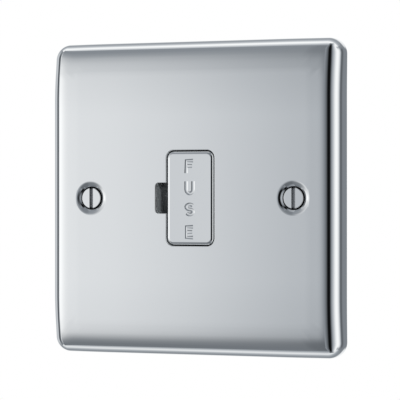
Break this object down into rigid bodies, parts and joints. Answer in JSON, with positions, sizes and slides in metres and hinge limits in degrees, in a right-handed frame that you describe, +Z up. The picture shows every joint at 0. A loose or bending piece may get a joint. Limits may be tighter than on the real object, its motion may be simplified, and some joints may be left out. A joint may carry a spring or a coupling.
{
  "type": "fused connection unit",
  "caption": "Square polished wall plate with a pull-out fuse carrier, lever notch, slotted fixing screws and a rear terminal housing.",
  "frame": {"origin": "centre of the plate on the wall line, midway between the fixing screws", "axes": "+X to the right seen from the room, +Y into the wall, +Z up"},
  "size_m": [0.086, 0.0252, 0.086],
  "materials": {
    "chrome": "polished chrome plate",
    "moulding": "dark grey moulded plastic",
    "brass": "bright brass",
    "zinc_steel": "zinc-plated steel",
    "nickel": "nickel-plated brass",
    "ceramic": "glazed ceramic"
  },
  "bodies": {
    "unit": {"front_plate": "chrome", "plate_studs": "zinc_steel", "front_cover": "moulding", "base_moulding": "moulding", "assembly_screws": "zinc_steel", "fixing_screws": "chrome", "fuse_clip_load": "brass", "fuse_clip_supply": "brass", "line_load_terminal": "brass", "line_supply_terminal": "brass", "neutral_load_terminal": "brass", "neutral_supply_terminal": "brass", "neutral_link": "brass", "earth_load_terminal": "brass", "earth_supply_terminal": "brass", "earth_link": "brass", "earth_tab": "brass", "terminal_screws": "zinc_steel"},
    "carrier": {"carrier_cap": "chrome", "carrier_body": "moulding", "fuse_body": "ceramic", "fuse_end_caps": "nickel"}
  },
  "joints": [
    {"name": "carrier_slide", "type": "slide", "parent": "unit", "child": "carrier", "axis": [0, -1, 0], "range_m": [0, 0.016]}
  ]
}
